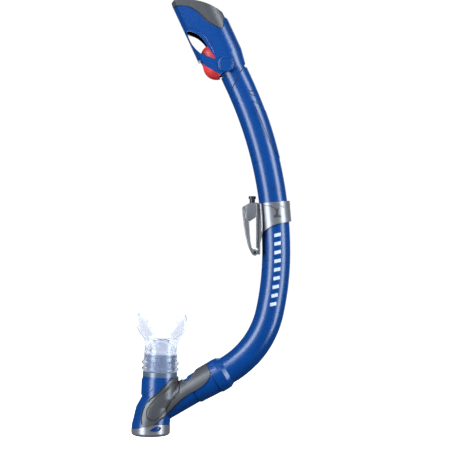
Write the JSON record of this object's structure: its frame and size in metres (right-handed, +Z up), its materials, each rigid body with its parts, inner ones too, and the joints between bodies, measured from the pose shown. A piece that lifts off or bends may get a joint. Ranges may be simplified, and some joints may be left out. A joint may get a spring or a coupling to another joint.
{
  "type": "snorkel tube",
  "caption": "Dry-top snorkel with a curved blue tube, a float valve head, a mask strap keeper, a purge chamber and a clear swivelling mouthpiece.",
  "frame": {"origin": "centre of the keeper's strap slot", "axes": "+Z up along the worn snorkel, +X from the mouthpiece towards the tube, Y along the strap's width; the object is symmetric about Y = 0"},
  "size_m": [0.1608, 0.0406, 0.4345],
  "materials": {
    "blue_plastic": "glossy royal blue",
    "grey_skin": "satin metallic grey",
    "silver_plastic": "satin silver",
    "float_red": "satin red",
    "black_plastic": "satin black",
    "clear_silicone": "clear, soft",
    "seal_silicone": "soft dark grey",
    "steel": "brushed",
    "liner_plastic": "low-friction sleeve"
  },
  "bodies": {
    "tube": {"main_tube": "blue_plastic", "valve_housing": "blue_plastic", "head_cap": "grey_skin", "valve_seat": "black_plastic", "pivot_pin": "steel", "pivot_caps": "blue_plastic", "arm_sleeve": "blue_plastic", "arm_o_ring": "seal_silicone", "chamber_body": "blue_plastic", "chamber_overmould": "grey_skin", "chamber_inlay": "silver_plastic", "neck_spigot": "grey_skin", "purge_seat": "black_plastic", "purge_cover": "silver_plastic"},
    "float_valve": {"float_pod": "float_red", "float_lever": "black_plastic", "seal_disc": "seal_silicone", "seal_retainer": "black_plastic"},
    "liner": {"keeper_liner": "liner_plastic"},
    "keeper": {"keeper_collar": "silver_plastic", "clip_frame": "silver_plastic", "clip_pin": "steel", "button_spring": "steel"},
    "gate": {"clip_gate": "silver_plastic"},
    "button": {"clip_button": "black_plastic"},
    "purge": {"purge_flap": "clear_silicone"},
    "mouthpiece": {"mouthpiece": "clear_silicone"}
  },
  "joints": [
    {"name": "float_swing", "type": "hinge", "parent": "tube", "child": "float_valve", "pos_m": [-0.02704, 0, 0.16956], "axis": [0, 1, 0], "range_deg": [0, 20]},
    {"name": "keeper_slide", "type": "hinge", "parent": "tube", "child": "liner", "pos_m": [-0.3765, 0, -0.017], "axis": [0, -1, 0], "range_deg": [-3, 6]},
    {"name": "keeper_swivel", "type": "hinge", "parent": "liner", "child": "keeper", "pos_m": [0.02189, 0, 0.01886], "axis": [-0.0896, 0, 0.996], "range_deg": [-60, 60]},
    {"name": "gate_swing", "type": "hinge", "parent": "keeper", "child": "gate", "pos_m": [0.0016, 0, -0.0174], "axis": [0, -1, 0], "range_deg": [0, 50]},
    {"name": "button_press", "type": "slide", "parent": "keeper", "child": "button", "axis": [0, 0, -1], "range_m": [0, 0.0018], "stiffness_N_per_m": 300, "deforming": ["button_spring"]},
    {"name": "purge_lift", "type": "slide", "parent": "tube", "child": "purge", "axis": [0, 0, -1], "range_m": [0, 0.0012], "stiffness_N_per_m": 60},
    {"name": "mouthpiece_swivel", "type": "hinge", "parent": "tube", "child": "mouthpiece", "pos_m": [-0.0933, 0, -0.1415], "axis": [0.0419, 0, 0.9991], "range_deg": [-45, 45]}
  ]
}
